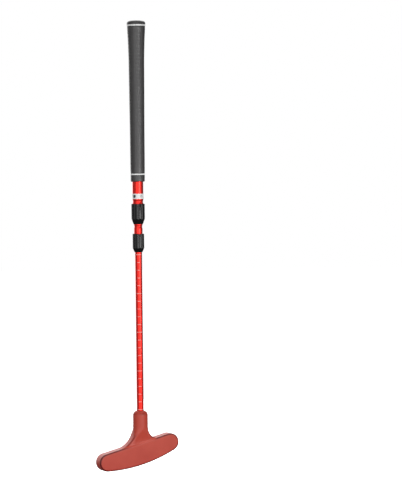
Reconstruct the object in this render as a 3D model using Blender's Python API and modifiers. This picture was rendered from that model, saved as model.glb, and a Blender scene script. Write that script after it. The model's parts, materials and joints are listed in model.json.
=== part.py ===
"""Telescopic two-way mini-golf putter.

Three aluminium tubes slide in one another and are held by two twist locks. The
widest tube carries a tapered rubber grip, the thinnest one a rubber head with
two flat striking faces. The shaft runs along Z, the origin is the middle of the
grip, the toe of the head points to -X and the striking faces look along Y.
"""

from math import atan2, cos, pi, radians, sin, sqrt

import bmesh
import bpy
from mathutils import Matrix

MM = 0.001
MERGE = 0.000001          # merge distance of the turned shapes
SIDES = 32                # sides of the round pieces
NUT_SIDES = 48            # sides of the two fluted nuts

# Grip
GRIP_LENGTH = 207.0 * MM
GRIP_TOP = GRIP_LENGTH / 2
GRIP_MOUTH = -GRIP_LENGTH / 2
GRIP_BORE = 7.45 * MM
CAP_RADIUS = 12.0 * MM
CAP_HEIGHT = 5.1 * MM
CAP_FULLNESS = 3.5                        # 2 is a half ellipse, more is squarer
CAP_LAND = 5.0 * MM                       # radius of the flat in the middle of the dome
CAP_SPIGOT = 9.0 * MM
CAP_SPIGOT_END = 1.0 * MM                 # spigot below the upper white band
SLEEVE_STEP = 1.2 * MM                    # depth of the step at each end of the sleeve's bore
BAND_HEIGHT = 1.8 * MM
BAND_GAP = 0.2 * MM                       # between a band and the rubber above and below it
BAND_SEAT = 8.15 * MM                     # radius of the groove that holds the lower band
LOWER_BAND = GRIP_MOUTH + 9.6 * MM        # middle of the lower white band
TAPE_THICKNESS = 0.27 * MM

# Tubes: outer radius and wall
UPPER_RADIUS = 7.0 * MM
UPPER_WALL = 0.8 * MM
MIDDLE_RADIUS = 5.5 * MM
MIDDLE_WALL = 0.6 * MM
LOWER_RADIUS = 4.5 * MM
LOWER_WALL = 0.7 * MM
MIDDLE_TOP = 48.0 * MM                    # top end of the middle tube

# Label on the upper tube
LABEL_TOP = GRIP_MOUTH - 15.4 * MM
LABEL_HEIGHT = 6.7 * MM
LABEL_THICKNESS = 0.14 * MM

# Twist locks
UPPER_NUT_TOP = GRIP_MOUTH - 28.4 * MM
UPPER_NUT_RADIUS = 8.75 * MM
UPPER_NUT_LENGTH = 26.3 * MM
UPPER_NUT_CONE = 7.0 * MM                 # height of the tapered end
UPPER_NUT_BORE = 8.0 * MM
LOWER_NUT_TOP = UPPER_NUT_TOP - 38.7 * MM
LOWER_NUT_RADIUS = 7.55 * MM
LOWER_NUT_LENGTH = 23.7 * MM
LOWER_NUT_CONE = 5.4 * MM
LOWER_NUT_BORE = 6.85 * MM
NUT_LIP = 1.1 * MM                        # height of the mouth below the inner taper
BODY_DROP = 0.8 * MM                      # lock body below the nut's upper end
JAW_ROOM = 4.2 * MM                       # room left for the jaw above the taper
FLUTES = 12
FLUTE_TURN = radians(9.0)    # angle of the first flute
FLUTE_RADIUS = 1.7 * MM
FLUTE_DEPTH = 0.38 * MM

# Rolled grooves, stop ring and guide plug
UPPER_GROOVE = GRIP_MOUTH - 25.7 * MM     # middle of the groove above the upper nut
LOWER_GROOVE = UPPER_NUT_TOP - 29.5 * MM  # middle of the groove in the middle tube
RING_SEAT = 23.8 * MM                     # middle of the stop ring's seat
RING_HEIGHT = 5.0 * MM
RING_RADIUS = 6.05 * MM
PLUG_RADIUS = 4.72 * MM
PLUG_HEIGHT = 3.0 * MM

# Head
TUBE_IN_HEAD = 28.0 * MM
NECK_TOP = LOWER_NUT_TOP - 227.6 * MM
NECK_RADIUS = 9.8 * MM
NECK_DOME = 6.5 * MM                      # rounding of the neck's upper edge
HEAD_CENTRE = NECK_TOP - 55.2 * MM        # height of the head's middle line at the shaft
HEAD_TILT = radians(13.7)                 # the toe hangs lower than the heel
HEAD_THICKNESS = 17.0 * MM
HEAD_TOP_LINE = 14.0 * MM
HEAD_BOTTOM = -14.8 * MM
HEAD_BOTTOM_RADIUS = 205.0 * MM
HEAD_END_RADIUS = 11.7 * MM
HEAD_OFFSET = -4.2 * MM                   # the head's middle lies towards the toe
HEAD_EDGE = 1.5 * MM
TOE_FILLET = 28.0 * MM
HEEL_FILLET = 10.0 * MM
WEB_THICKNESS = 14.0 * MM
WEB_EDGE = 3.0 * MM
CORE_LENGTH = 78.0 * MM
CORE_HEIGHT = 13.0 * MM
CORE_THICKNESS = 9.0 * MM
CORE_DROP = 2.0 * MM                      # the bar lies below the head's middle line
POST_RADIUS = 6.5 * MM
POST_TOP = NECK_TOP - 4.3 * MM
PIN_RADIUS = 1.25 * MM
PIN_LENGTH = 12.2 * MM
PIN_HEIGHT = NECK_TOP - 18.0 * MM

# Clearances
GAP = 0.3 * MM
RUNNING = 0.1 * MM

GRIP_OUTLINE = (                          # height above the grip's middle, radius, in mm
    (92.9, 11.6), (88.5, 11.3), (85.5, 11.1), (77.0, 10.7), (65.5, 10.35), (54.0, 10.02),
    (40.0, 9.95), (5.0, 9.72), (-38.0, 9.4), (-76.0, 9.3),
)


# ---------------------------------------------------------------- helpers

def clear_scene():
    for obj in list(bpy.data.objects):
        bpy.data.objects.remove(obj, do_unlink=True)


def new_collection(name):
    collection = bpy.data.collections.new(name)
    bpy.context.scene.collection.children.link(collection)
    return collection


def new_material(name, colour, roughness, metallic=0.0):
    material = bpy.data.materials.new(name)
    material.use_nodes = True
    shader = material.node_tree.nodes["Principled BSDF"]
    shader.inputs["Base Color"].default_value = (*colour, 1.0)
    shader.inputs["Roughness"].default_value = roughness
    shader.inputs["Metallic"].default_value = metallic
    material.diffuse_color = (*colour, 1.0)
    return material


def move_to(obj, collection):
    for old in list(obj.users_collection):
        old.objects.unlink(obj)
    collection.objects.link(obj)


def new_group(name, height, parent=None):
    """An empty on the shaft's axis that the pieces of one moving group hang from."""
    group = bpy.data.objects.new(name, None)
    group.empty_display_size = 0.02
    PUTTER.objects.link(group)
    group["height"] = height
    if parent:
        group.parent = parent
        height -= parent["height"]
    group.location = (0, 0, height)
    return group


def place(obj, group, height):
    obj.parent = group
    obj.location = (0, 0, height - group["height"])


def add_turned(name, top, profile, material, group, sides=SIDES, closed=True):
    """Turn a profile of (radius, depth below top) pairs round the shaft's axis.

    The profile runs down the outer side; a closed one comes back up the bore.
    """
    count = len(profile)
    edges = [(i, i + 1) for i in range(count - 1)]
    if closed:
        edges.append((count - 1, 0))
    mesh = bpy.data.meshes.new(name)
    mesh.from_pydata([(radius, 0, -depth) for radius, depth in profile], edges, [])
    mesh.materials.append(material)
    obj = bpy.data.objects.new(name, mesh)
    PUTTER.objects.link(obj)
    screw = obj.modifiers.new("turn", "SCREW")
    screw.axis = "Z"
    screw.angle = 2 * pi
    screw.steps = sides
    screw.render_steps = sides
    screw.use_merge_vertices = True
    screw.merge_threshold = MERGE
    screw.use_smooth_shade = True
    place(obj, group, top)
    return obj


def add_cylinder(name, radius, length, material=None, sides=24):
    bpy.ops.mesh.primitive_cylinder_add(vertices=sides, radius=radius, depth=length)
    obj = bpy.context.object
    obj.name = name
    obj.data.name = name
    if material:
        obj.data.materials.append(material)
        obj.data.shade_smooth()
        obj.data.set_sharp_from_angle(angle=radians(40))
    return obj


def add_box(name, size_x, size_y, size_z):
    bpy.ops.mesh.primitive_cube_add(size=1)
    obj = bpy.context.object
    obj.name = name
    obj.data.name = name
    obj.data.transform(Matrix.Diagonal((size_x, size_y, size_z, 1)))
    return obj


def as_cutter(obj):
    obj.hide_render = True
    obj.display_type = "WIRE"
    move_to(obj, CUTTERS)
    return obj


def combine(obj, other, operation="DIFFERENCE"):
    boolean = obj.modifiers.new(operation.lower(), "BOOLEAN")
    boolean.operation = operation
    boolean.solver = "EXACT"
    boolean.object = other


def arc(centre, radius, start, end, steps):
    """Points on an arc, from the start angle to the end angle in degrees."""
    points = []
    for i in range(steps + 1):
        angle = radians(start + (end - start) * i / steps)
        points.append((centre[0] + radius * cos(angle), centre[1] + radius * sin(angle)))
    return points


def add_plate(name, outline, thickness, edge, material):
    """A flat plate in the XZ plane with rounded edges, as a mesh object."""
    curve = bpy.data.curves.new(name, "CURVE")
    curve.dimensions = "2D"
    curve.fill_mode = "BOTH"
    curve.extrude = thickness / 2 - edge
    curve.bevel_depth = edge
    curve.bevel_resolution = 1
    curve.offset = -edge
    spline = curve.splines.new("POLY")
    spline.points.add(len(outline) - 1)
    for point, (x, z) in zip(spline.points, outline):
        point.co = (x, z, 0, 1)
    spline.use_cyclic_u = True
    flat = bpy.data.objects.new(name + "_outline", curve)
    PUTTER.objects.link(flat)
    flat.rotation_euler = (pi / 2, 0, 0)
    bpy.context.view_layer.update()

    evaluated = flat.evaluated_get(bpy.context.evaluated_depsgraph_get())
    mesh = bpy.data.meshes.new_from_object(evaluated)
    mesh.name = name
    welded = bmesh.new()
    welded.from_mesh(mesh)
    bmesh.ops.remove_doubles(welded, verts=welded.verts, dist=0.00001)
    bmesh.ops.recalc_face_normals(welded, faces=welded.faces)
    welded.to_mesh(mesh)
    welded.free()
    mesh.materials.clear()
    mesh.materials.append(material)
    plate = bpy.data.objects.new(name, mesh)
    PUTTER.objects.link(plate)
    plate.matrix_world = flat.matrix_world.copy()
    bpy.data.objects.remove(flat, do_unlink=True)
    return plate


# ---------------------------------------------------------------- grip

def build_grip(handle):
    sleeve_top = GRIP_TOP - CAP_HEIGHT - BAND_HEIGHT - 2 * BAND_GAP
    outline = [(11.7 * MM, 0)]
    outline += [(radius * MM, sleeve_top - height * MM) for height, radius in GRIP_OUTLINE]
    seat = sleeve_top - LOWER_BAND
    half = BAND_HEIGHT / 2 + BAND_GAP
    length = sleeve_top - GRIP_MOUTH
    outline += [
        (9.22 * MM, seat - half), (BAND_SEAT, seat - half),
        (BAND_SEAT, seat + half), (9.2 * MM, seat + half),
        (9.1 * MM, length - SLEEVE_STEP), (8.3 * MM, length),
        (GRIP_BORE, length), (GRIP_BORE, SLEEVE_STEP),
        (CAP_SPIGOT + GAP, SLEEVE_STEP), (CAP_SPIGOT + GAP, 0),
    ]
    add_turned("grip_sleeve", sleeve_top, outline, RUBBER, handle)

    power = 2 / CAP_FULLNESS
    spigot_end = CAP_HEIGHT + BAND_HEIGHT + CAP_SPIGOT_END
    cap = [(0, 0), (CAP_LAND, 0)]
    cap += [(CAP_RADIUS * sin(a) ** power, CAP_HEIGHT * (1 - cos(a) ** power))
            for a in [radians(18 + 9 * i) for i in range(9)]]
    cap += [(CAP_SPIGOT, CAP_HEIGHT), (CAP_SPIGOT, spigot_end), (0, spigot_end)]
    add_turned("grip_cap", GRIP_TOP, cap, RUBBER, handle, closed=False)

    upper_band = [
        (11.9 * MM, 0), (11.75 * MM, BAND_HEIGHT),
        (CAP_SPIGOT + GAP, BAND_HEIGHT), (CAP_SPIGOT + GAP, 0),
    ]
    add_turned("grip_upper_band", GRIP_TOP - CAP_HEIGHT - BAND_GAP, upper_band, WHITE, handle)
    lower_band = [(9.24 * MM, 0), (9.22 * MM, BAND_HEIGHT), (8.3 * MM, BAND_HEIGHT), (8.3 * MM, 0)]
    add_turned("grip_lower_band", LOWER_BAND + BAND_HEIGHT / 2, lower_band, WHITE, handle)

    tape_top = sleeve_top - 3.0 * MM
    tape_length = tape_top - GRIP_MOUTH - 2.5 * MM
    inside = UPPER_RADIUS + 0.08 * MM
    tape = [
        (inside + TAPE_THICKNESS, 0), (inside + TAPE_THICKNESS, tape_length),
        (inside, tape_length), (inside, 0),
    ]
    add_turned("grip_tape", tape_top, tape, PAPER, handle)


# ---------------------------------------------------------------- tubes

def rolled_groove(radius, depth, centre, half_width):
    """Five profile points of a groove that is rolled into a tube's wall."""
    return [
        (radius, centre - half_width),
        (radius - 0.6 * depth, centre - 0.55 * half_width),
        (radius - depth, centre),
        (radius - 0.6 * depth, centre + 0.55 * half_width),
        (radius, centre + half_width),
    ]


def build_upper_tube(handle):
    top = GRIP_TOP - 9.0 * MM
    length = top - UPPER_NUT_TOP + 7.2 * MM
    groove = top - UPPER_GROOVE
    bore = UPPER_RADIUS - UPPER_WALL
    profile = [(UPPER_RADIUS, 0)]
    profile += rolled_groove(UPPER_RADIUS, 0.5 * MM, groove, 2.7 * MM)
    profile += [(UPPER_RADIUS, length), (bore, length)]
    profile += reversed(rolled_groove(bore, 0.42 * MM, groove, 2.6 * MM))
    profile += [(bore, 0)]
    add_turned("upper_tube", top, profile, RED, handle)

    inside = UPPER_RADIUS + 0.06 * MM
    label = [
        (inside + LABEL_THICKNESS, 0), (inside + LABEL_THICKNESS, LABEL_HEIGHT),
        (inside, LABEL_HEIGHT), (inside, 0),
    ]
    add_turned("label_band", LABEL_TOP, label, WHITE, handle)


def build_middle_tube(slide, middle):
    length = MIDDLE_TOP - LOWER_NUT_TOP + 7.1 * MM
    groove = MIDDLE_TOP - LOWER_GROOVE
    bore = MIDDLE_RADIUS - MIDDLE_WALL
    seat = MIDDLE_TOP - RING_SEAT
    half = RING_HEIGHT / 2 + GAP
    slope = 0.5 * MM
    profile = [
        (MIDDLE_RADIUS, 0), (MIDDLE_RADIUS, seat - half - slope),
        (MIDDLE_RADIUS - 0.25 * MM, seat - half), (MIDDLE_RADIUS - 0.25 * MM, seat + half),
        (MIDDLE_RADIUS, seat + half + slope),
    ]
    profile += rolled_groove(MIDDLE_RADIUS, 0.42 * MM, groove, 2.3 * MM)
    profile += [(MIDDLE_RADIUS, length), (bore, length)]
    profile += reversed(rolled_groove(bore, 0.27 * MM, groove, 2.2 * MM))
    profile += [(bore, 0)]
    add_turned("middle_tube", MIDDLE_TOP, profile, RED, middle)

    ring_bore = MIDDLE_RADIUS - 0.13 * MM
    ring = [
        (RING_RADIUS - 0.4 * MM, 0), (RING_RADIUS, 0.5 * MM), (RING_RADIUS, RING_HEIGHT),
        (ring_bore, RING_HEIGHT), (ring_bore, 0),
    ]
    stop_ring = add_turned("middle_stop_ring", RING_SEAT + RING_HEIGHT / 2, ring, NYLON, slide)
    slit = as_cutter(add_box("stop_ring_slit", 3 * MM, 0.8 * MM, 2 * RING_HEIGHT))
    slit.location = (RING_RADIUS, 0, RING_SEAT)
    combine(stop_ring, slit)


def build_lower_tube(slide, lower):
    plug_bottom = LOWER_GROOVE + 1.3 * MM
    top = plug_bottom - GAP
    length = top - NECK_TOP + TUBE_IN_HEAD
    bore = LOWER_RADIUS - LOWER_WALL
    profile = [(LOWER_RADIUS, 0), (LOWER_RADIUS, length), (bore, length), (bore, 0)]
    tube = add_turned("lower_tube", top, profile, RED, lower)
    combine(tube, PIN_HOLE)

    spigot = bore - 0.12 * MM
    plug = [
        (0, 0), (PLUG_RADIUS - 0.5 * MM, 0), (PLUG_RADIUS, 0.5 * MM), (PLUG_RADIUS, PLUG_HEIGHT),
        (spigot, PLUG_HEIGHT), (spigot, PLUG_HEIGHT + 5.4 * MM),
        (spigot - 0.5 * MM, PLUG_HEIGHT + 6 * MM), (0, PLUG_HEIGHT + 6 * MM),
    ]
    add_turned("lower_guide_plug", plug_bottom + PLUG_HEIGHT, plug, NYLON, slide, closed=False)


# ---------------------------------------------------------------- twist locks

def build_flute_cutter(name, nut_radius, nut_top, length):
    """A ring of round bars that leave the nut's flutes."""
    bars = bmesh.new()
    ring = nut_radius - FLUTE_DEPTH + FLUTE_RADIUS
    for i in range(FLUTES):
        angle = 2 * pi * i / FLUTES + FLUTE_TURN
        spot = Matrix.Translation((ring * cos(angle), ring * sin(angle), 0))
        bmesh.ops.create_cone(bars, cap_ends=True, segments=12, radius1=FLUTE_RADIUS,
                              radius2=FLUTE_RADIUS, depth=length, matrix=spot)
    mesh = bpy.data.meshes.new(name)
    bars.to_mesh(mesh)
    bars.free()
    cutter = bpy.data.objects.new(name, mesh)
    CUTTERS.objects.link(cutter)
    cutter.location = (0, 0, nut_top)
    return as_cutter(cutter)


def build_lock(side, group, fixed, nut, tube_radius, inner_radius):
    """Threaded body, split jaw and fluted nut of one twist lock.

    fixed carries the body; group carries the jaw and the nut.
    """
    top, radius, length, cone, bore = nut
    mouth = inner_radius + 0.25 * MM
    cone_start = length - cone
    inner_end = length - NUT_LIP
    profile = [
        (radius - 0.5 * MM, 0), (radius, 0.5 * MM), (radius, cone_start),
        (mouth + 0.35 * MM, length - 0.3 * MM), (mouth + 0.1 * MM, length), (mouth, length),
        (mouth, inner_end), (bore, cone_start + 0.2 * MM), (bore, 0),
    ]
    lock_nut = add_turned(side + "_lock_nut", top, profile, BLACK, group, sides=NUT_SIDES)
    combine(lock_nut, build_flute_cutter(side + "_flutes", radius, top, 3 * length))

    body_length = cone_start - JAW_ROOM
    outer = bore - 0.15 * MM
    socket = tube_radius + RUNNING
    socket_end = 6.9 * MM
    hole = inner_radius + 0.2 * MM
    body = [
        (outer, 0), (outer, body_length), (hole, body_length),
        (hole, socket_end), (socket, socket_end), (socket, 0),
    ]
    add_turned(side + "_lock_body", top - BODY_DROP, body, BLACK, fixed)

    jaw_start = body_length + BODY_DROP + 0.4 * MM
    grip_radius = inner_radius + 0.12 * MM
    tip = inner_radius + 0.45 * MM
    slope = (bore - mouth) / (inner_end - cone_start - 0.2 * MM)
    wide = bore - 0.35 * MM
    tip_depth = inner_end - (tip + 0.12 * MM - mouth) / slope
    jaw = [
        (wide, 0), (wide, cone_start - jaw_start), (tip, tip_depth - jaw_start),
        (grip_radius, tip_depth - jaw_start), (grip_radius, 0),
    ]
    lock_jaw = add_turned(side + "_lock_jaw", top - jaw_start, jaw, NYLON, group)
    slit = as_cutter(add_box(side + "_jaw_slit", 4 * MM, 1.0 * MM, 2 * length))
    slit.location = (inner_radius + 1.5 * MM, 0, top - jaw_start)
    combine(lock_jaw, slit)


# ---------------------------------------------------------------- head

def head_ends():
    """Centres of the toe and heel arcs and of the bottom arc, in the head's plane."""
    bottom_centre = (HEAD_OFFSET, HEAD_BOTTOM + HEAD_BOTTOM_RADIUS)
    end_height = HEAD_TOP_LINE - HEAD_END_RADIUS
    reach = sqrt((HEAD_BOTTOM_RADIUS - HEAD_END_RADIUS) ** 2
                 - (bottom_centre[1] - end_height) ** 2)
    return (HEAD_OFFSET - reach, end_height), (HEAD_OFFSET + reach, end_height), bottom_centre


def tilted(points):
    """Turn points of the head's plane by the tilt and set them at the head's height."""
    turn_x, turn_z = cos(HEAD_TILT), sin(HEAD_TILT)
    return [(u * turn_x - v * turn_z, HEAD_CENTRE + u * turn_z + v * turn_x) for u, v in points]


def face_outline():
    toe, heel, bottom = head_ends()
    lower = atan2(heel[1] - bottom[1], heel[0] - bottom[0])
    heel_angle = lower * 180 / pi
    toe_angle = -180 - heel_angle
    points = arc(bottom, HEAD_BOTTOM_RADIUS, toe_angle, heel_angle, 18)
    points += arc(heel, HEAD_END_RADIUS, heel_angle, 90, 24)[1:]
    points += arc(toe, HEAD_END_RADIUS, 90, 360 + toe_angle, 24)[:-1]
    return tilted(points)


def fillet(side, radius):
    """Arc between the head's top line and the neck's side, from the line up."""
    centre_v = HEAD_TOP_LINE + radius
    reach = side * (NECK_RADIUS + radius)
    centre_u = (reach + centre_v * sin(HEAD_TILT)) / cos(HEAD_TILT)
    touch_angle = 180 - HEAD_TILT * 180 / pi if side > 0 else -HEAD_TILT * 180 / pi
    start = 270 if side > 0 else -90
    return arc((centre_u, centre_v), radius, start, touch_angle, 7)


def web_outline():
    """The two fillets beside the neck, joined by a foot inside the head."""
    toe_side = fillet(-1, TOE_FILLET)
    heel_side = fillet(1, HEEL_FILLET)
    foot = HEAD_TOP_LINE - 6 * MM
    points = [(toe_side[0][0], foot), (heel_side[0][0], foot)] + heel_side
    points += list(reversed(toe_side))
    return tilted(points)


def add_core_shape(name, margin, material):
    """The tilted bar of the head's core, larger by a margin all round."""
    bar = add_box(name, CORE_LENGTH + 2 * margin, CORE_THICKNESS + 2 * margin,
                  CORE_HEIGHT + 2 * margin)
    bar.rotation_euler = (0, -HEAD_TILT, 0)
    (x, z), = tilted([(HEAD_OFFSET, -CORE_DROP)])
    bar.location = (x, 0, z)
    if material:
        bar.data.materials.append(material)
    return bar


def build_head(lower):
    shell = add_plate("head_shell", face_outline(), HEAD_THICKNESS, HEAD_EDGE, HEAD_RUBBER)
    web = as_cutter(add_plate("head_web", web_outline(), WEB_THICKNESS, WEB_EDGE, HEAD_RUBBER))
    combine(shell, web, "UNION")

    waist = HEAD_THICKNESS / 2 - 0.25 * MM
    crease = NECK_TOP - HEAD_CENTRE - HEAD_TOP_LINE / cos(HEAD_TILT)
    neck = [(0, 0), (NECK_RADIUS - NECK_DOME, 0)]
    neck += [(NECK_RADIUS - NECK_DOME * (1 - sin(a)), NECK_DOME * (1 - cos(a)))
             for a in [radians(18 * i) for i in range(1, 6)]]
    neck += [(NECK_RADIUS, 27 * MM), (waist, crease - 3.2 * MM), (waist, crease + 8 * MM),
             (0, crease + 8 * MM)]
    neck_solid = add_turned("head_neck", NECK_TOP, neck, HEAD_RUBBER, lower, closed=False)
    combine(shell, as_cutter(neck_solid), "UNION")

    post_length = POST_TOP - HEAD_CENTRE
    core = add_core_shape("head_core", 0, STEEL)
    post = add_cylinder("core_post", POST_RADIUS, post_length)
    post.location = (0, 0, POST_TOP - post_length / 2)
    combine(core, as_cutter(post), "UNION")
    socket_length = TUBE_IN_HEAD + 1.0 * MM
    socket = add_cylinder("core_socket", LOWER_RADIUS + 0.12 * MM, 2 * socket_length, sides=SIDES)
    socket.location = (0, 0, NECK_TOP)
    combine(core, as_cutter(socket))
    combine(core, PIN_HOLE)

    mouth = add_cylinder("neck_mouth", LOWER_RADIUS + 0.15 * MM, 4 * NECK_DOME, sides=SIDES)
    mouth.location = (0, 0, NECK_TOP)
    cavity_post = add_cylinder("cavity_post", POST_RADIUS + GAP, post_length + GAP)
    cavity_post.location = (0, 0, POST_TOP + GAP - (post_length + GAP) / 2)
    cavity_bar = add_core_shape("cavity_bar", GAP, None)
    for cutter in (mouth, cavity_post, cavity_bar):
        combine(shell, as_cutter(cutter))

    pin = add_cylinder("head_pin", PIN_RADIUS, PIN_LENGTH, STEEL, sides=16)
    pin.rotation_euler = (pi / 2, 0, 0)
    place(pin, lower, PIN_HEIGHT)
    for piece in (pin, core):
        move_to(piece, PUTTER)
    for piece in (shell, core):
        piece.parent = lower
        piece.matrix_parent_inverse = Matrix.Translation((0, 0, -lower["height"]))


# ---------------------------------------------------------------- the putter

clear_scene()
PUTTER = new_collection("telescopic_putter")
CUTTERS = new_collection("cutters")

RUBBER = new_material("grip_rubber", (0.035, 0.034, 0.034), 0.7)
WHITE = new_material("white_print", (0.85, 0.85, 0.85), 0.45)
PAPER = new_material("grip_tape", (0.7, 0.66, 0.55), 0.8)
RED = new_material("red_anodised_aluminium", (0.7, 0.01, 0.01), 0.3, 0.9)
BLACK = new_material("black_nylon", (0.012, 0.012, 0.012), 0.3)
NYLON = new_material("natural_nylon", (0.75, 0.74, 0.7), 0.45)
STEEL = new_material("bright_steel", (0.55, 0.55, 0.56), 0.35, 1.0)
HEAD_RUBBER = new_material("brick_red_rubber", (0.5, 0.07, 0.05), 0.5)

HANDLE = new_group("handle", 0)
UPPER_LOCK = new_group("upper_lock", UPPER_NUT_TOP, HANDLE)
MIDDLE_SLIDE = new_group("middle_slide", RING_SEAT, HANDLE)
MIDDLE = new_group("middle_section", LOWER_NUT_TOP, MIDDLE_SLIDE)
LOWER_LOCK = new_group("lower_lock", LOWER_NUT_TOP, MIDDLE)
LOWER_SLIDE = new_group("lower_slide", LOWER_GROOVE, MIDDLE)
LOWER = new_group("lower_section", NECK_TOP, LOWER_SLIDE)

PIN_HOLE = as_cutter(add_cylinder("pin_hole", PIN_RADIUS + 0.15 * MM, 4 * POST_RADIUS, sides=16))
PIN_HOLE.rotation_euler = (pi / 2, 0, 0)
PIN_HOLE.location = (0, 0, PIN_HEIGHT)

build_grip(HANDLE)
build_upper_tube(HANDLE)
build_lock("upper", UPPER_LOCK, HANDLE,
           (UPPER_NUT_TOP, UPPER_NUT_RADIUS, UPPER_NUT_LENGTH, UPPER_NUT_CONE, UPPER_NUT_BORE),
           UPPER_RADIUS, MIDDLE_RADIUS)
build_middle_tube(MIDDLE_SLIDE, MIDDLE)
build_lock("lower", LOWER_LOCK, MIDDLE,
           (LOWER_NUT_TOP, LOWER_NUT_RADIUS, LOWER_NUT_LENGTH, LOWER_NUT_CONE, LOWER_NUT_BORE),
           MIDDLE_RADIUS, LOWER_RADIUS)
build_lower_tube(LOWER_SLIDE, LOWER)
build_head(LOWER)
bpy.context.view_layer.update()
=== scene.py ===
"""Looks of a telescopic two-way mini-golf putter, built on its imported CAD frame.

Every piece is modelled in metres in the CAD's own frame: the shaft runs along Z,
the toe of the head points to -X and the two striking faces look along Y.
"""

import json
from math import asin, atan2, cos, pi, radians, sin, sqrt, tau

import bmesh
import bpy
from mathutils import Matrix, Vector


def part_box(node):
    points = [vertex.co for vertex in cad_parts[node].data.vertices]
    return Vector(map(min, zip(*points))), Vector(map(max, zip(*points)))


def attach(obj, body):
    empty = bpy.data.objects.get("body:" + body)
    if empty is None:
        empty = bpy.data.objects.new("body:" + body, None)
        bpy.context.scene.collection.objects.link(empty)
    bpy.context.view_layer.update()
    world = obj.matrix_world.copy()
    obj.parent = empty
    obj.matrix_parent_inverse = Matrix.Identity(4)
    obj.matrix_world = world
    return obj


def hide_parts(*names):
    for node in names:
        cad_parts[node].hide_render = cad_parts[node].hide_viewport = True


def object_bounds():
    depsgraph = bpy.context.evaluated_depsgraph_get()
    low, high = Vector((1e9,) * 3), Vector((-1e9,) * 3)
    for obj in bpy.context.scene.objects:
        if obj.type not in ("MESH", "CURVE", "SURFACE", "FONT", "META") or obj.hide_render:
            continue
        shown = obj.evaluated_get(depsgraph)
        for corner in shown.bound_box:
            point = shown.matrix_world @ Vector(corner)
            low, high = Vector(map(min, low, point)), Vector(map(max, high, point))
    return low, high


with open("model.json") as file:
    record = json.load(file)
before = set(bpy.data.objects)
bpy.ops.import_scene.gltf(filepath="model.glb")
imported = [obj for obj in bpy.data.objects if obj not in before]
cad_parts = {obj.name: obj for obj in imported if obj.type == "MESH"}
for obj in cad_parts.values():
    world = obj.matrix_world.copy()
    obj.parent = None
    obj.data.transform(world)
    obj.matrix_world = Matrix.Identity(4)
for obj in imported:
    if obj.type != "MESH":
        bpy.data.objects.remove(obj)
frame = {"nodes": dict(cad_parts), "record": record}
cad_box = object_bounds()

MM = 0.001
MERGE = 0.000001
FRONT = radians(-115.0)          # direction from the shaft that the printed marks face


# ---------------------------------------------------------------- mesh helpers

def span(node):
    """Top, bottom and outer radius of a round CAD node."""
    low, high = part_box(node)
    return high.z, low.z, high.x


def turned(profile, steps, closed=True):
    """Spin a profile of (radius, height) points round the shaft's axis."""
    bm = bmesh.new()
    line = [bm.verts.new((radius, 0, height)) for radius, height in profile]
    pairs = list(zip(line, line[1:]))
    if closed:
        pairs.append((line[-1], line[0]))
    edges = [bm.edges.new(pair) for pair in pairs]
    bmesh.ops.spin(bm, geom=line + edges, cent=(0, 0, 0), axis=(0, 0, 1), angle=tau,
                   steps=steps, use_merge=True)
    bmesh.ops.remove_doubles(bm, verts=bm.verts, dist=MERGE)
    bmesh.ops.recalc_face_normals(bm, faces=bm.faces)
    return bm


def arc(centre, radius, start, end, steps):
    """Points of a profile's rounded corner, angles in degrees from +radius to +height."""
    return [(centre[0] + radius * cos(radians(start + (end - start) * i / steps)),
             centre[1] + radius * sin(radians(start + (end - start) * i / steps)))
            for i in range(steps + 1)]


def angle_of(point):
    """Angle of a point round the shaft, counted from the printed marks' direction."""
    return (atan2(point.y, point.x) - FRONT + pi) % tau - pi


def finish_piece(name, bm, materials, body, node, sharp=40.0):
    """Make a piece from its bmesh: shaded, dressed, riding its body in place of its node."""
    mesh = bpy.data.meshes.new(name)
    bm.to_mesh(mesh)
    bm.free()
    for item in materials:
        mesh.materials.append(item)
    mesh.shade_smooth()
    mesh.set_sharp_from_angle(angle=radians(sharp))
    piece = bpy.data.objects.new(name, mesh)
    bpy.context.scene.collection.objects.link(piece)
    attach(piece, body)
    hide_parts(node)
    return piece


# ---------------------------------------------------------------- material helpers

def colour(code):
    """Linear colour of an sRGB hex value."""
    parts = [int(code[i:i + 2], 16) / 255 for i in (1, 3, 5)]
    return (*[p / 12.92 if p <= 0.04045 else ((p + 0.055) / 1.055) ** 2.4 for p in parts], 1.0)


def put(tree, kind, inputs=None, stops=None, **settings):
    """Add a node with its settings and links; a node given as an input links its first output."""
    made = tree.nodes.new(kind)
    for key, value in settings.items():
        setattr(made, key, value)
    for key, value in (inputs or {}).items():
        if isinstance(value, bpy.types.Node):
            value = value.outputs[0]
        if isinstance(value, bpy.types.NodeSocket):
            tree.links.new(value, made.inputs[key])
        else:
            made.inputs[key].default_value = value
    for i, (position, code) in enumerate(stops or ()):
        steps = made.color_ramp.elements
        step = steps[i] if i < 2 else steps.new(position)
        step.position, step.color = position, colour(code)
    return made


def new_finish(name, **sockets):
    """A material, its Principled shader with its constants set, and a place in millimetres."""
    material = bpy.data.materials.new(name)
    material.use_nodes = True
    tree = material.node_tree
    shader = tree.nodes["Principled BSDF"]
    for key, value in sockets.items():
        shader.inputs[key.replace("_", " ")].default_value = value
    spot = put(tree, "ShaderNodeTexCoord").outputs["Object"]
    place = put(tree, "ShaderNodeMapping", {"Vector": spot, "Scale": (MM, MM, MM)},
                vector_type="TEXTURE")
    return material, tree, shader, place


def dress(tree, shader, base, roughness, height, depth):
    """Link a finish's colour, roughness and relief; depth is the relief's height in metres."""
    bump = put(tree, "ShaderNodeBump", {"Height": height, "Distance": depth, "Strength": 1.0})
    tree.links.new(base, shader.inputs["Base Color"])
    tree.links.new(roughness.outputs[0], shader.inputs["Roughness"])
    tree.links.new(bump.outputs[0], shader.inputs["Normal"])


# ---------------------------------------------------------------- materials

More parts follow.
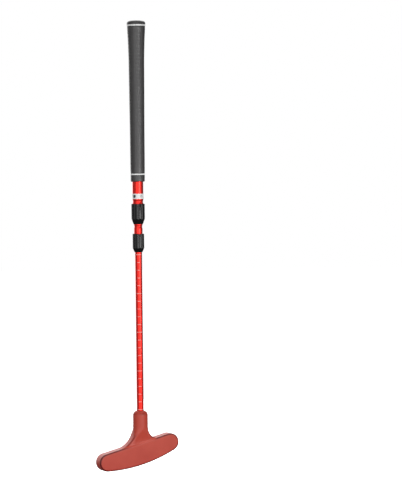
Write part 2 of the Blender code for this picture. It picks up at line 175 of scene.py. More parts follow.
def grip_rubber():
    """Moulded thermoplastic rubber: dull charcoal with a broad soft shine, polished by hands."""
    material, tree, shader, place = new_finish("moulded_grip_rubber", Specular_IOR_Level=0.8)
    # handling marks some 12 mm wide
    handled = put(tree, "ShaderNodeTexNoise", {"Vector": place, "Scale": 0.08, "Detail": 3.0})
    # grit of the mould's blasted steel, 0.1 mm on the real one, drawn at 0.45 mm so that it shows
    grit = put(tree, "ShaderNodeTexNoise", {"Vector": place, "Scale": 2.2, "Detail": 4.0})
    base = put(tree, "ShaderNodeValToRGB", {"Fac": handled},
               [(0.3, "#2f2d2d"), (0.7, "#393737")])
    dusk = put(tree, "ShaderNodeMapRange", {"Value": grit, "To Min": 0.0, "To Max": 0.35})
    base = put(tree, "ShaderNodeMix", {0: dusk, 6: base, 7: colour("#222121")}, data_type="RGBA")
    rough = put(tree, "ShaderNodeMapRange", {"Value": handled, "To Min": 0.34, "To Max": 0.45})
    dress(tree, shader, base.outputs[2], rough, grit, 0.02 * MM)
    return material


def band_rubber():
    """White rubber band: clean satin white, faintly greyed where fingers rub."""
    material, tree, shader, place = new_finish("white_rubber_band", Specular_IOR_Level=0.45)
    rubbed = put(tree, "ShaderNodeTexNoise", {"Vector": place, "Scale": 0.35, "Detail": 4.0})
    base = put(tree, "ShaderNodeValToRGB", {"Fac": rubbed}, [(0.3, "#ececea"), (0.65, "#fbfbfa")])
    rough = put(tree, "ShaderNodeMapRange", {"Value": rubbed, "To Min": 0.5, "To Max": 0.38})
    dress(tree, shader, base.outputs[0], rough, rubbed, 0.015 * MM)
    return material


def crepe_tape():
    """Crepe paper tape: pale tan, dull, with fine wrinkles across its length."""
    material, tree, shader, place = new_finish("crepe_paper_tape", Specular_IOR_Level=0.3)
    long = put(tree, "ShaderNodeMapping", {"Vector": place, "Scale": (0.25, 0.25, 1.0)})
    crepe = put(tree, "ShaderNodeTexNoise", {"Vector": long, "Scale": 1.2, "Detail": 3.0})
    base = put(tree, "ShaderNodeValToRGB", {"Fac": crepe}, [(0.3, "#b9ab86"), (0.7, "#d8cdab")])
    rough = put(tree, "ShaderNodeMapRange", {"Value": crepe, "To Min": 0.9, "To Max": 0.78})
    dress(tree, shader, base.outputs[0], rough, crepe, 0.06 * MM)
    return material


def red_tube():
    """Drawn aluminium tube, anodised red: a clear metal shine over fine lines along the tube."""
    material, tree, shader, place = new_finish("red_anodised_aluminium", Metallic=1.0)
    # lines of the drawing die, 0.05 mm apart on the real one, drawn at 0.3 mm
    along = put(tree, "ShaderNodeMapping", {"Vector": place, "Scale": (1.0, 1.0, 0.016)})
    lines = put(tree, "ShaderNodeTexNoise", {"Vector": along, "Scale": 3.0, "Detail": 3.0})
    # fingerprints some 8 mm wide
    smudge = put(tree, "ShaderNodeTexNoise", {"Vector": place, "Scale": 0.12, "Detail": 4.0})
    base = put(tree, "ShaderNodeValToRGB", {"Fac": lines}, [(0.25, "#e9302a"), (0.75, "#f13a33")])
    fine = put(tree, "ShaderNodeMapRange", {"Value": lines, "To Min": 0.23, "To Max": 0.33})
    worn = put(tree, "ShaderNodeMapRange", {"Value": smudge, "To Min": -0.04, "To Max": 0.06})
    rough = put(tree, "ShaderNodeMath", {0: fine, 1: worn})
    dress(tree, shader, base.outputs[0], rough, lines, 0.0012 * MM)
    return material


def scale_ink():
    """Screen-printed white ink on the anodised tube, thin enough to let some red through."""
    material, tree, shader, place = new_finish("white_scale_ink", Specular_IOR_Level=0.4)
    thin = put(tree, "ShaderNodeTexNoise", {"Vector": place, "Scale": 2.5, "Detail": 3.0})
    base = put(tree, "ShaderNodeValToRGB", {"Fac": thin}, [(0.3, "#f08378"), (0.65, "#ffc9c0")])
    rough = put(tree, "ShaderNodeMapRange", {"Value": thin, "To Min": 0.55, "To Max": 0.4})
    dress(tree, shader, base.outputs[0], rough, thin, 0.01 * MM)
    return material


def label_film():
    """White vinyl film with a plain dark dot and a patch of grey hatching, both generic."""
    material, tree, shader, place = new_finish("white_vinyl_film", Specular_IOR_Level=0.5)
    top, bottom, radius = span("label_band")
    grain = put(tree, "ShaderNodeTexNoise", {"Vector": place, "Scale": 0.8, "Detail": 3.0})
    base = put(tree, "ShaderNodeValToRGB", {"Fac": grain}, [(0.3, "#ececea"), (0.7, "#fafaf9")])
    ink = base.outputs[0]
    for offset, size, dark in ((-38.0, 2.3, "#3c4146"), (40.0, 2.4, "#9aa39f")):
        turn = FRONT + radians(offset)
        spot = (radius * cos(turn) / MM, radius * sin(turn) / MM, (top + bottom) / 2 / MM)
        near = put(tree, "ShaderNodeMapping", {
            "Vector": place, "Location": spot, "Rotation": (0, 0, turn), "Scale": (size,) * 3},
            vector_type="TEXTURE")
        inside = put(tree, "ShaderNodeTexGradient", {"Vector": near}, gradient_type="SPHERICAL")
        mask = put(tree, "ShaderNodeValToRGB", {"Fac": inside},
                   [(0.03, "#000000"), (0.14, "#ffffff")])
        if offset > 0:
            # hatching lines 0.8 mm apart
            hatch = put(tree, "ShaderNodeTexWave", {"Vector": near, "Scale": 1.0},
                        bands_direction="Z")
            mask = put(tree, "ShaderNodeMath", {0: mask, 1: hatch}, operation="MULTIPLY")
        ink = put(tree, "ShaderNodeMix", {0: mask, 6: ink, 7: colour(dark)},
                  data_type="RGBA").outputs[2]
    rough = put(tree, "ShaderNodeMapRange", {"Value": grain, "To Min": 0.3, "To Max": 0.42})
    dress(tree, shader, ink, rough, grain, 0.003 * MM)
    return material


def lock_nylon():
    """Injection-moulded black nylon: glossy with a faint ripple and fine rub marks."""
    material, tree, shader, place = new_finish("glossy_black_nylon", Specular_IOR_Level=0.26)
    ripple = put(tree, "ShaderNodeTexNoise", {"Vector": place, "Scale": 0.3, "Detail": 3.0})
    # rub marks along the nut, 0.6 mm wide
    along = put(tree, "ShaderNodeMapping", {"Vector": place, "Scale": (1.0, 1.0, 0.12)})
    rub = put(tree, "ShaderNodeTexNoise", {"Vector": along, "Scale": 1.8, "Detail": 5.0})
    base = put(tree, "ShaderNodeValToRGB", {"Fac": rub}, [(0.35, "#0c0c0c"), (0.75, "#171717")])
    soft = put(tree, "ShaderNodeMapRange", {"Value": ripple, "To Min": 0.1, "To Max": 0.15})
    worn = put(tree, "ShaderNodeMapRange", {"Value": rub, "To Min": -0.01, "To Max": 0.04})
    rough = put(tree, "ShaderNodeMath", {0: soft, 1: worn})
    dress(tree, shader, base.outputs[0], rough, ripple, 0.003 * MM)
    return material


def natural_nylon():
    """Unfilled nylon: milky off-white with a waxy shine."""
    material, tree, shader, place = new_finish(
        "natural_nylon", Subsurface_Weight=0.15, Subsurface_Radius=(0.002, 0.002, 0.0015))
    flow = put(tree, "ShaderNodeTexNoise", {"Vector": place, "Scale": 0.6, "Detail": 3.0})
    base = put(tree, "ShaderNodeValToRGB", {"Fac": flow}, [(0.3, "#d6d2c4"), (0.7, "#e8e5da")])
    rough = put(tree, "ShaderNodeMapRange", {"Value": flow, "To Min": 0.35, "To Max": 0.48})
    dress(tree, shader, base.outputs[0], rough, flow, 0.012 * MM)
    return material


def bright_steel():
    """Bright drawn steel bar: grey metal with fine turning lines."""
    material, tree, shader, place = new_finish("bright_drawn_steel", Metallic=1.0)
    across = put(tree, "ShaderNodeMapping", {"Vector": place, "Scale": (1.0, 1.0, 0.08)})
    lines = put(tree, "ShaderNodeTexNoise", {"Vector": across, "Scale": 2.5, "Detail": 4.0})
    base = put(tree, "ShaderNodeValToRGB", {"Fac": lines}, [(0.3, "#9c9c9e"), (0.7, "#c3c3c5")])
    rough = put(tree, "ShaderNodeMapRange", {"Value": lines, "To Min": 0.25, "To Max": 0.42})
    dress(tree, shader, base.outputs[0], rough, lines, 0.008 * MM)
    return material


def head_rubber():
    """Moulded brick-red rubber: an even satin, with painted shade darkening its rounded edges."""
    material, tree, shader, place = new_finish("brick_red_moulded_rubber", Specular_IOR_Level=0.38)
    cloud = put(tree, "ShaderNodeTexNoise", {"Vector": place, "Scale": 0.05, "Detail": 3.0})
    # spark-eroded mould grain, 0.08 mm on the real one, drawn at 0.5 mm
    grain = put(tree, "ShaderNodeTexNoise", {"Vector": place, "Scale": 2.0, "Detail": 4.0})
    base = put(tree, "ShaderNodeValToRGB", {"Fac": cloud}, [(0.3, "#c44433"), (0.7, "#cc4c3a")])
    pores = put(tree, "ShaderNodeMapRange", {"Value": grain, "To Min": 0.0, "To Max": 0.16})
    base = put(tree, "ShaderNodeMix", {0: pores, 6: base.outputs[0], 7: colour("#8e2c20")},
               data_type="RGBA")
    # painted shade: the base colour is darkened along the rounded edges, where they turn away from
    # the lamps
    edge = put(tree, "ShaderNodeAttribute", attribute_name="edge").outputs["Fac"]
    base = put(tree, "ShaderNodeMix", {0: edge, 6: base.outputs[2], 7: colour("#6a120c")},
               data_type="RGBA")
    rough = put(tree, "ShaderNodeMapRange", {"Value": cloud, "To Min": 0.34, "To Max": 0.44})
    dress(tree, shader, base.outputs[2], rough, grain, 0.02 * MM)
    return material


GRIP = grip_rubber()
BAND = band_rubber()
TAPE = crepe_tape()
TUBE = red_tube()
INK = scale_ink()
LABEL = label_film()
NYLON_BLACK = lock_nylon()
NYLON = natural_nylon()
STEEL = bright_steel()
HEAD = head_rubber()


# ---------------------------------------------------------------- grip

GRIP_OUTLINE = (                 # depth below the sleeve's top and radius, in mm
    (0.0, 11.7), (3.3, 11.6), (7.7, 11.3), (10.7, 11.1), (19.2, 10.7), (30.7, 10.35),
    (42.2, 10.02), (56.2, 9.95), (91.2, 9.72), (134.2, 9.4), (172.2, 9.3), (200.0, 9.1),
)
PATTERN_COLUMNS = 48
PATTERN_ROW = 1.2 * MM
PIT_RIM = 0.2 * MM
PIT_DEPTH = 0.16 * MM
RIB_EVERY = 4                    # every fourth row of the pattern is a plain rib
COLLAR = 3.6 * MM                # smooth rubber above and below the pattern
ARCH = 4.6 * MM                  # rise of the pattern's arched ends
GRIP_BORE = 7.45 * MM
CAP_SOCKET = 9.3 * MM            # radius of the hole that takes the cap's spigot
CAP_FULLNESS = 3.5               # power of the cap's superellipse; 2 is a plain dome
CAP_STEPS = 18


def outline_radius(depth):
    """Radius of the sleeve at a depth below its top, eased between the outline's points."""
    total = 0.0
    for shift in (-4.0, -2.0, 0.0, 2.0, 4.0):
        at = min(max(depth / MM + shift, 0.0), GRIP_OUTLINE[-1][0])
        for (d0, r0), (d1, r1) in zip(GRIP_OUTLINE, GRIP_OUTLINE[1:]):
            if at <= d1:
                total += r0 + (r1 - r0) * (at - d0) / (d1 - d0)
                break
    return total / 5 * MM


def build_sleeve():
    top, mouth, _ = span("grip_sleeve")
    band_top, band_low, band_radius = span("grip_lower_band")
    seat_top, seat_low = band_top + 0.2 * MM, band_low - 0.2 * MM
    rim = outline_radius(0)
    profile = arc((rim - 0.5 * MM, top - 0.5 * MM), 0.5 * MM, 90, 0, 3)
    rows = int((top - 0.5 * MM - seat_top - 0.6 * MM) / PATTERN_ROW)
    first = top - 0.5 * MM
    profile += [(outline_radius(top - first + i * PATTERN_ROW), first - i * PATTERN_ROW)
                for i in range(1, rows + 1)]
    wall = outline_radius(top - seat_top)
    profile += arc((wall - 0.35 * MM, seat_top + 0.35 * MM), 0.35 * MM, 0, -90, 3)
    floor = band_radius - 1.0 * MM
    profile += [(floor, seat_top), (floor, seat_low)]
    end = outline_radius(top - seat_low)
    profile += arc((end - 0.35 * MM, seat_low - 0.35 * MM), 0.35 * MM, 90, 0, 3)
    profile += arc((end - 1.3 * MM, mouth + 1.2 * MM), 1.2 * MM, 0, -90, 5)
    profile += [(GRIP_BORE, mouth), (GRIP_BORE, top - 1.2 * MM), (CAP_SOCKET, top - 1.2 * MM),
                (CAP_SOCKET, top)]
    bm = turned(profile, PATTERN_COLUMNS)

    pits = []
    for face in bm.faces:
        middle = face.calc_center_median()
        if middle.xy.length < 0.9 * band_radius or abs(face.normal.z) > 0.5:
            continue
        if face.calc_area() > 2.2 * MM * MM or not seat_top < middle.z < first:
            continue
        lean = 0.5 - 0.5 * cos(2 * angle_of(middle))
        if not seat_top + COLLAR + ARCH * (1 - lean) < middle.z < top - COLLAR - ARCH * lean:
            continue
        column = int((atan2(middle.y, middle.x) + tau) / tau * PATTERN_COLUMNS)
        row = int((first - middle.z) / PATTERN_ROW)
        if (column + row) % 2 == 0 and row % RIB_EVERY:
            pits.append(face)
    bmesh.ops.inset_individual(bm, faces=pits, thickness=PIT_RIM, depth=-PIT_DEPTH,
                               use_even_offset=True)
    finish_piece("grip_sleeve_moulded", bm, [GRIP], "handle", "grip_sleeve", 60.0)


def build_cap():
    """End cap with a low dome and full shoulders, and its spigot inside the sleeve."""
    top, low, radius = span("grip_cap")
    upper_band_top = span("grip_upper_band")[0]
    height = top - upper_band_top - 0.2 * MM
    profile = []
    for i in range(CAP_STEPS + 1):
        turn = pi / 2 * i / CAP_STEPS
        profile.append((radius * sin(turn) ** (2 / CAP_FULLNESS),
                        top - height + height * cos(turn) ** (2 / CAP_FULLNESS)))
    profile[0] = (0, top)
    lower = top - height - 0.1 * MM
    spigot = 9.0 * MM
    profile += [(radius - 0.1 * MM, lower), (spigot, lower), (spigot, low), (0, low)]
    finish_piece("grip_cap_domed", turned(profile, 64, closed=False), [GRIP], "handle",
                 "grip_cap", 50.0)


def build_bands():
    for name, node, inner in (("white_band_upper", "grip_upper_band", CAP_SOCKET),
                              ("white_band_lower", "grip_lower_band", 8.3 * MM)):
        top, low, radius = span(node)
        edge = 0.35 * MM
        profile = arc((radius - edge, top - edge), edge, 90, 0, 3)
        profile += arc((radius - edge, low + edge), edge, 0, -90, 3)
        profile += [(inner, low), (inner, top)]
        finish_piece(name, turned(profile, 96), [BAND], "handle", node, 50.0)


# ---------------------------------------------------------------- tubes

def groove(radius, depth, centre, half, steps=10):
    """Profile of a rolled groove, from above down: a rounded valley that eases into the tube."""
    points = []
    for i in range(steps + 1):
        t = -1 + 2 * i / steps
        points.append((radius - depth * (0.5 + 0.5 * cos(pi * t)), centre - half * t))
    return points


UPPER_WALL = 0.8 * MM
MIDDLE_WALL = 0.6 * MM
LOWER_WALL = 0.7 * MM
UPPER_GROOVE_RISE = 2.7 * MM     # a groove's middle above the nut below it
LOWER_GROOVE_RISE = 9.2 * MM


def build_upper_tube():
    top, low, radius = span("upper_tube")
    nut_top = span("upper_lock_nut")[0]
    edge = 0.25 * MM
    profile = arc((radius - edge, top - edge), edge, 90, 0, 2)
    profile += groove(radius, 0.55 * MM, nut_top + UPPER_GROOVE_RISE, 3.0 * MM)
    profile += arc((radius - edge, low + edge), edge, 0, -90, 2)
    bore = radius - UPPER_WALL
    profile += [(bore, low)]
    profile += reversed(groove(bore, 0.42 * MM, nut_top + UPPER_GROOVE_RISE, 2.8 * MM))
    profile += [(bore, top)]
    finish_piece("upper_tube_anodised", turned(profile, 96), [TUBE], "handle", "upper_tube",
                 50.0)


def build_middle_tube():
    top, low, radius = span("middle_tube")
    ring_top, ring_low, _ = span("middle_stop_ring")
    lower_nut_top = span("lower_lock_nut")[0]
    edge = 0.2 * MM
    neck = radius - 0.25 * MM
    profile = arc((radius - edge, top - edge), edge, 90, 0, 2)
    profile += [(radius, ring_top + 0.8 * MM), (neck, ring_top + 0.3 * MM),
                (neck, ring_low - 0.3 * MM), (radius, ring_low - 0.8 * MM)]
    profile += groove(radius, 0.45 * MM, lower_nut_top + LOWER_GROOVE_RISE, 2.6 * MM)
    profile += arc((radius - edge, low + edge), edge, 0, -90, 2)
    bore = radius - MIDDLE_WALL
    profile += [(bore, low)]
    profile += reversed(groove(bore, 0.27 * MM, lower_nut_top + LOWER_GROOVE_RISE, 2.4 * MM))
    profile += [(bore, top)]
    finish_piece("middle_tube_anodised", turned(profile, 96), [TUBE], "middle_section",
                 "middle_tube", 50.0)


SCALE_STEP = 10.0 * MM
SCALE_MARKS = 21
MARK_HEIGHT = 0.75 * MM
FIRST_MARK = 277.21 * MM         # height of the top mark above the head's lowest point
SHORT_MARK = radians(24.0)       # half width of a mark, as an angle round the tube
LONG_MARK = radians(42.0)


def build_lower_tube():
    """Thinnest tube with its printed scale: a mark every 10 mm, a longer one every 50 mm."""
    top, low, radius = span("lower_tube")
    first = span("head_shell")[1] + FIRST_MARK
    edge = 0.2 * MM
    profile = arc((radius - edge, top - edge), edge, 90, 0, 2)
    for i in range(SCALE_MARKS):
        middle = first - i * SCALE_STEP
        profile += [(radius, middle + MARK_HEIGHT / 2), (radius, middle - MARK_HEIGHT / 2)]
    profile += arc((radius - edge, low + edge), edge, 0, -90, 2)
    bore = radius - LOWER_WALL
    profile += [(bore, low), (bore, top)]
    bm = turned(profile, 96)
    for face in bm.faces:
        middle = face.calc_center_median()
        mark = (first - middle.z) / SCALE_STEP
        number = round(mark)
        if not 0 <= number < SCALE_MARKS or abs(mark - number) * SCALE_STEP > MARK_HEIGHT / 4:
            continue
        reach = LONG_MARK if number % 5 == 0 else SHORT_MARK
        if middle.xy.length > bore + 0.3 * MM and abs(angle_of(middle)) < reach:
            face.material_index = 1
    finish_piece("lower_tube_scaled", bm, [TUBE, INK], "lower_section", "lower_tube",
                 50.0)


def build_label():
    top, low, radius = span("label_band")
    inner = radius - 0.14 * MM
    profile = [(radius, top), (radius, low), (inner, low), (inner, top)]
    finish_piece("label_film", turned(profile, 96), [LABEL], "handle", "label_band", 50.0)


# ---------------------------------------------------------------- twist locks

FLUTES = 12
FLUTE_TURN = radians(9.0)        # angle of the first flute
FLUTE_RADIUS = 1.7 * MM
FLUTE_DEPTH = 0.42 * MM
NUT_STEPS = 192
FLUTE_BLEND = 0.09 * MM          # softness of the flutes' edges


def build_nut(name, node, body, cone, mouth):
    """Fluted nut: a turned body with a tapered end, on which its pressed-in flutes run out."""
    top, low, radius = span(node)
    taper = low + cone
    edge = 0.6 * MM
    bore = radius - 0.72 * MM
    profile = arc((radius - edge, top - edge), edge, 90, 0, 5)
    profile += [(radius, taper + 1.2 * MM)]
    tip = (mouth + 0.55 * MM, low + 0.35 * MM)
    slope = 14
    lean = Vector((tip[0] - radius, tip[1] - taper))
    profile += [(radius, taper + 0.5 * MM), (radius - 0.02 * MM, taper + 0.2 * MM)]
    profile += [(radius + lean.x * i / slope, taper + lean.y * i / slope)
                for i in range(1, slope + 1)]
    profile += [(mouth + 0.4 * MM, low + 0.08 * MM), (mouth + 0.2 * MM, low),
                (mouth, low + 0.12 * MM)]
    profile += [(mouth, low + 1.1 * MM), (bore, taper - 0.2 * MM), (bore, top - 0.3 * MM),
                (bore + 0.3 * MM, top)]
    bm = turned(profile, NUT_STEPS)
    ring = radius - FLUTE_DEPTH + FLUTE_RADIUS
    pitch = tau / FLUTES
    for vert in bm.verts:
        reach = vert.co.xy.length
        if reach < bore + 0.1 * MM and vert.co.z > taper - 1.5 * MM:
            continue
        if reach < mouth + 0.5 * MM:
            continue
        off = (atan2(vert.co.y, vert.co.x) - FLUTE_TURN + pitch / 2) % pitch - pitch / 2
        if abs(ring * sin(off)) >= FLUTE_RADIUS:
            continue
        wall = ring * cos(off) - sqrt(FLUTE_RADIUS ** 2 - (ring * sin(off)) ** 2)
        gap = reach - wall
        press = 0.5 * (gap + sqrt(gap * gap + FLUTE_BLEND ** 2)) - 0.5 * FLUTE_BLEND * 0.3
        if press > 0:
            vert.co.xy *= (reach - press) / reach
    finish_piece(name, bm, [NYLON_BLACK], body, node, 45.0)


# ---------------------------------------------------------------- head

TILT = radians(13.7)
HEAD_DROP = 55.2 * MM            # head's middle line below the neck's top, on the shaft
THICKNESS = 17.0 * MM
TOP_LINE = 14.0 * MM
BOTTOM_LINE = -14.8 * MM
BOTTOM_RADIUS = 205.0 * MM
END_RADIUS = 11.7 * MM
OFFSET = -4.2 * MM
TOE_FILLET = 28.0 * MM
HEEL_FILLET = 10.0 * MM
NECK_RADIUS = 10.0 * MM
NECK_DOME = 6.5 * MM
WEB_HALF = 7.7 * MM              # half thickness of the web where it meets the plate
ROUND_END = 22.0 * MM            # the neck stays round down to this depth below its top
POST_RADIUS = 6.8 * MM           # room for the core's round post
POST_DEPTH = 4.0 * MM            # its top below the neck's top
MOUTH_RADIUS = 4.65 * MM         # hole for the lower tube
CORE_ROOM = (78.6 * MM, 9.6 * MM, 13.6 * MM)
CORE_DROP = 2.0 * MM             # the core's middle below the head's
VOXEL = 0.55 * MM
SWELL = 0.3 * MM                 # drawn in after melting, so that the moulding stays in the CAD box


def swept(bm, start, centre, degrees, steps):
    """Carry a point round a centre in the head's plane; gives back its last place."""
    turned_points = bmesh.ops.spin(bm, geom=[start], cent=centre, axis=(0, -1, 0),
                                   angle=radians(degrees), steps=steps)
    return next(item for item in turned_points["geom_last"] if isinstance(item, bmesh.types.BMVert))


def slab(bm, thickness, edge):
    """Fill the outline in a bmesh, give it its thickness and round its edges."""
    bmesh.ops.remove_doubles(bm, verts=bm.verts, dist=0.02 * MM)
    face = bmesh.ops.contextual_create(bm, geom=bm.edges[:])["faces"][0]
    grown = bmesh.ops.extrude_face_region(bm, geom=[face])
    bmesh.ops.translate(bm, vec=(0, thickness, 0),
                        verts=[g for g in grown["geom"] if isinstance(g, bmesh.types.BMVert)])
    bmesh.ops.translate(bm, vec=(0, -thickness / 2, 0), verts=bm.verts)
    bmesh.ops.recalc_face_normals(bm, faces=bm.faces)
    rim = [e for e in bm.edges if abs(e.verts[0].co.y - e.verts[1].co.y) < MERGE]
    bmesh.ops.bevel(bm, geom=rim, offset=edge, segments=5, profile=0.5, affect="EDGES",
                    material=-1, clamp_overlap=True)


def face_plate():
    """The crescent plate with both striking faces, in the head's own plane."""
    bm = bmesh.new()
    bottom = Vector((OFFSET, 0, BOTTOM_LINE + BOTTOM_RADIUS))
    end_height = TOP_LINE - END_RADIUS
    reach = sqrt((BOTTOM_RADIUS - END_RADIUS) ** 2 - (bottom.z - end_height) ** 2)
    half = asin(reach / (BOTTOM_RADIUS - END_RADIUS))
    toe = Vector((OFFSET - reach, 0, end_height))
    heel = Vector((OFFSET + reach, 0, end_height))
    start = bm.verts.new(bottom + BOTTOM_RADIUS * Vector((-sin(half), 0, -cos(half))))
    last = swept(bm, start, bottom, 2 * half * 180 / pi, 60)
    last = swept(bm, last, heel, 180 - half * 180 / pi, 28)
    corner = bm.verts.new(toe + Vector((0, 0, END_RADIUS)))
    bm.edges.new((last, corner))
    last = swept(bm, corner, toe, 180 - half * 180 / pi, 28)
    slab(bm, THICKNESS, 2.0 * MM)
    return bm


def web_reach(side, radius, height):
    """How far the neck and its fillet reach to one side, at a height above the head's middle."""
    line = TOP_LINE + radius
    x = side * (NECK_RADIUS + radius)
    z = (x * sin(TILT) + line) / cos(TILT)
    limit = radius * (cos(TILT) if side < 0 else 0.99)
    drop = min(max(z - height, 0), limit)
    return abs(x) - sqrt(radius ** 2 - drop ** 2)


def neck_and_web(neck_top, centre):
    """Round neck that flows down into a flat web with a fillet on either side."""
    crease = centre + TOP_LINE / cos(TILT)
    profile = [(0, neck_top)]
    profile += arc((NECK_RADIUS - NECK_DOME, neck_top - NECK_DOME), NECK_DOME, 90, 0, 12)
    rows = int((profile[-1][1] - crease) / MM) + 9
    profile += [(NECK_RADIUS, profile[-1][1] - i * MM) for i in range(1, rows)]
    profile.append((0, profile[-1][1]))
    bm = turned(profile, 192, closed=False)
    for vert in bm.verts:
        height = vert.co.z
        share = vert.co.xy.length / NECK_RADIUS
        turn = atan2(vert.co.y, vert.co.x)
        fall = min(max((neck_top - ROUND_END - height) / (neck_top - ROUND_END - crease), 0), 1)
        ease = fall * fall * (3 - 2 * fall)
        side = -1 if abs(turn) > pi / 2 else 1
        reach = web_reach(side, TOE_FILLET if side < 0 else HEEL_FILLET, height - centre)
        half = NECK_RADIUS + (WEB_HALF - NECK_RADIUS) * ease
        power = 2 / (2 + 5.0 * ease)
        vert.co.x = side * share * reach * abs(cos(turn)) ** power
        vert.co.y = (1 if turn > 0 else -1) * share * half * abs(sin(turn)) ** power
    return bm


def mark_edges(mesh):
    """Store how sharply the surface turns outwards at each point, from 0 to 1, as an attribute; the
    head's finish uses it as the mask of its painted edge shade.
    """
    bm = bmesh.new()
    bm.from_mesh(mesh)
    bm.normal_update()
    bend = [0.0] * len(bm.verts)
    for vert in bm.verts:
        rest = Vector()
        for edge in vert.link_edges:
            rest += edge.other_vert(vert).co - vert.co
        bend[vert.index] = -rest.dot(vert.normal) / len(vert.link_edges) / VOXEL
    for vert in bm.verts:
        vert.co -= SWELL * vert.normal
    bm.to_mesh(mesh)
    for _ in range(5):
        bend = [(bend[v.index] + sum(bend[e.other_vert(v).index] for e in v.link_edges))
                / (1 + len(v.link_edges)) for v in bm.verts]
    bm.free()
    layer = mesh.attributes.new("edge", "FLOAT", "POINT")
    layer.data.foreach_set("value", [min(max((b - 0.018) / 0.02, 0.0), 1.0) for b in bend])


def as_object(name, bm):
    """Put a bmesh in the scene as a working object."""
    mesh = bpy.data.meshes.new(name)
    bm.to_mesh(mesh)
    bm.free()
    made = bpy.data.objects.new(name, mesh)
    bpy.context.scene.collection.objects.link(made)
    return made


def applied(made):
    """Mesh of a working object with its modifiers applied."""
    bpy.context.view_layer.update()
    return bpy.data.meshes.new_from_object(
        made.evaluated_get(bpy.context.evaluated_depsgraph_get()))


def core_room(lean):
    """The room inside the head for the steel core, as a working object."""
    bm = bmesh.new()
    bar = lean @ Matrix.Translation((OFFSET, 0, -CORE_DROP)) @ Matrix.Diagonal((*CORE_ROOM, 1))
    bmesh.ops.create_cube(bm, size=1.0, matrix=bar)
    return as_object("core_room", bm)


def build_head():
    """Plate, web and neck melted into one moulding, then opened for the core and the tube."""
    neck_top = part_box("head_shell")[1].z
    centre = neck_top - HEAD_DROP
    lean = Matrix.Translation((0, 0, centre)) @ Matrix.Rotation(-TILT, 4, "Y")
    whole = neck_and_web(neck_top, centre)
    plate = face_plate()
    plate.transform(lean)
    holder = bpy.data.meshes.new("plate")
    plate.to_mesh(holder)
    plate.free()
    whole.from_mesh(holder)
    bpy.data.meshes.remove(holder)
    rough = as_object("head_parts", whole)
    melt = rough.modifiers.new("melt", "REMESH")
    melt.mode = "VOXEL"
    melt.voxel_size = VOXEL
    soften = rough.modifiers.new("soften", "SMOOTH")
    soften.factor = 0.5
    soften.iterations = 8
    melted = applied(rough)
    bpy.data.objects.remove(rough)
    mark_edges(melted)
    solid = bpy.data.objects.new("head_solid", melted)
    bpy.context.scene.collection.objects.link(solid)
    post_top = neck_top - POST_DEPTH
    post = turned([(0, post_top), (POST_RADIUS, post_top), (POST_RADIUS, centre), (0, centre)],
                  48, closed=False)
    above, below = neck_top + 5 * MM, neck_top - 9 * MM
    mouth = turned([(0, above), (MOUTH_RADIUS, above), (MOUTH_RADIUS, below), (0, below)],
                   64, closed=False)
    for cutter in (as_object("post_room", post), as_object("tube_mouth", mouth),
                   core_room(lean)):
        opened = solid.modifiers.new("open", "BOOLEAN")
        opened.operation = "DIFFERENCE"
        opened.solver = "EXACT"
        opened.object = cutter
        cutter.hide_render = True
    hollow = applied(solid)
    for cutter in [m.object for m in solid.modifiers] + [solid]:
        bpy.data.objects.remove(cutter)
    bm = bmesh.new()
    bm.from_mesh(hollow)
    finish_piece("head_moulded", bm, [HEAD], "lower_section", "head_shell", 50.0)


def dress_inner_pieces():
    """Procedural finishes for the CAD pieces that lie inside the others."""
    for node, material in (
            ("grip_tape", TAPE), ("upper_lock_body", NYLON_BLACK), ("lower_lock_body", NYLON_BLACK),
            ("upper_lock_jaw", NYLON), ("lower_lock_jaw", NYLON), ("middle_stop_ring", NYLON),
            ("lower_guide_plug", NYLON), ("head_core", STEEL), ("head_pin", STEEL)):
        for socket in frame["nodes"][node].material_slots:
            socket.link = "OBJECT"
            socket.material = material


build_sleeve()
build_cap()
build_bands()
build_upper_tube()
build_middle_tube()
build_lower_tube()
build_label()
build_nut("upper_nut_fluted", "upper_lock_nut", "upper_nut", 7.0 * MM, 5.75 * MM)
build_nut("lower_nut_fluted", "lower_lock_nut", "lower_nut", 5.4 * MM, 4.75 * MM)
build_head()
dress_inner_pieces()


# ---------------------------------------------------------------- studio

low, high = cad_box
middle = (low + high) / 2
AZIMUTH = radians(25.0)          # the camera stands this far round from straight in front
AHEAD = Vector((sin(AZIMUTH), cos(AZIMUTH), 0))
RIGHT = Vector((cos(AZIMUTH), -sin(AZIMUTH), 0))
UP = Vector((0, 0, 1))


def stage_piece(name, bm, material):
    """The floor or the backdrop: not part of the object."""
    piece = as_object(name, bm)
    piece.data.materials.append(material)
    return piece


def softbox(name, turn, rise, distance, width, height, glow):
    """A lamp aimed at the shaft: turn is degrees to the right of the camera, glow its radiance."""
    heading = -AHEAD * cos(radians(turn)) + RIGHT * sin(radians(turn))
    chest = Vector((0, 0, middle.z))
    lamp = bpy.data.lights.new(name, "AREA")
    lamp.shape = "RECTANGLE"
    lamp.size = width
    lamp.size_y = height
    lamp.energy = pi * width * height * glow
    box = bpy.data.objects.new(name, lamp)
    bpy.context.scene.collection.objects.link(box)
    box.location = chest + distance * (heading * cos(radians(rise)) + UP * sin(radians(rise)))
    box.rotation_mode = "QUATERNION"
    box.rotation_quaternion = (chest - box.location).to_track_quat("-Z", "Y")
    box.visible_camera = False


def floor_height():
    """Just under the head where the putter is pulled out to its longest."""
    drop = sum(max(joint["range_m"][1], 0) for joint in frame["record"]["behaviour"]["joints"]
               if joint["name"] in ("middle_slide", "lower_slide"))
    return low.z - drop - 0.5 * MM


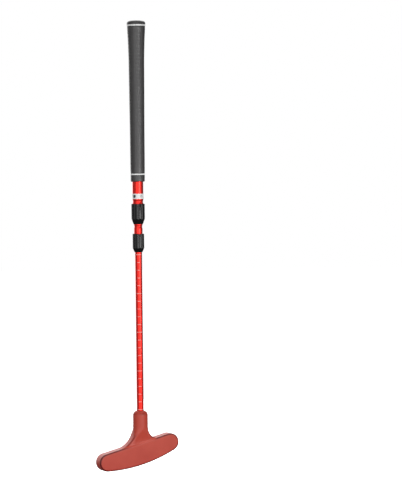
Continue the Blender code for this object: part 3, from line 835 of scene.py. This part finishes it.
def build_stage():
    paper, tree, shader, place = new_finish("pale_floor_paper", Roughness=0.9)
    grain = put(tree, "ShaderNodeTexNoise", {"Vector": place, "Scale": 0.02})
    tone = put(tree, "ShaderNodeValToRGB", {"Fac": grain}, [(0.3, "#f4f4f4"), (0.7, "#f8f8f8")])
    tree.links.new(tone.outputs[0], shader.inputs["Base Color"])
    # the sweep is lit brighter away from the object
    away = put(tree, "ShaderNodeVectorMath", {0: place}, operation="LENGTH")
    lit = put(tree, "ShaderNodeMapRange", {"Value": away.outputs["Value"], "From Min": 630.0,
                                           "From Max": 1400.0, "To Min": 0.8, "To Max": 1.0})
    shader.inputs["Emission Color"].default_value = (1, 1, 1, 1)
    tree.links.new(lit.outputs[0], shader.inputs["Emission Strength"])
    bm = bmesh.new()
    bmesh.ops.create_circle(bm, cap_ends=True, segments=96, radius=8.0,
                            matrix=Matrix.Translation((0, 0, floor_height())))
    floor = stage_piece("floor", bm, paper)

    glow = bpy.data.materials.new("pale_backdrop")
    glow.use_nodes = True
    glow.node_tree.nodes.clear()
    light = put(glow.node_tree, "ShaderNodeEmission", {"Color": (1, 1, 1, 1), "Strength": 1.0})
    put(glow.node_tree, "ShaderNodeOutputMaterial", {"Surface": light})
    bm = bmesh.new()
    bmesh.ops.create_uvsphere(bm, u_segments=64, v_segments=32, radius=8.5)
    bmesh.ops.reverse_faces(bm, faces=bm.faces)
    dome = stage_piece("backdrop", bm, glow)
    for kind in ("visible_diffuse", "visible_glossy", "visible_shadow", "visible_transmission"):
        setattr(dome, kind, False)
    floor.visible_diffuse = False
    floor.visible_glossy = False


def build_lights():
    softbox("front", -2.0, 4.0, 1.6, 2.3, 1.6, 1.5)
    softbox("key", 38.0, 0.0, 1.5, 0.46, 0.3, 9.0)
    softbox("low_key", 44.0, -6.0, 1.5, 0.6, 0.24, 5.0)
    softbox("left", -66.0, 4.0, 1.6, 1.6, 1.5, 0.36)
    softbox("right", 78.0, 4.0, 1.6, 1.1, 1.5, 0.5)
    softbox("behind", 195.0, 14.0, 2.0, 3.0, 2.0, 1.7)
    softbox("overhead", 180.0, 70.0, 1.6, 2.0, 2.0, 1.0)
    world = bpy.data.worlds.new("studio")
    world.use_nodes = True
    world.node_tree.nodes["Background"].inputs["Color"].default_value = (0.95, 0.97, 1.0, 1)
    world.node_tree.nodes["Background"].inputs["Strength"].default_value = 0.16
    bpy.context.scene.world = world


def build_camera():
    data = bpy.data.cameras.new("camera")
    data.sensor_fit = "AUTO"
    data.sensor_width = 36.0
    data.lens = 2329.8 / 481.0 * 36.0
    data.clip_start = 0.05
    data.clip_end = 60.0
    camera = bpy.data.objects.new("camera", data)
    bpy.context.scene.collection.objects.link(camera)
    drop = radians(2.2)
    camera.location = 0.08065 * RIGHT - 3.0 * AHEAD - 0.0648 * UP
    ahead = AHEAD * cos(drop) - UP * sin(drop)
    camera.rotation_mode = "QUATERNION"
    roll = Matrix.Rotation(radians(-0.58), 4, "Z").to_quaternion()
    camera.rotation_quaternion = ahead.to_track_quat("-Z", "Y") @ roll
    bpy.context.scene.camera = camera


build_stage()
build_lights()
build_camera()
bpy.context.scene.view_settings.view_transform = "Standard"
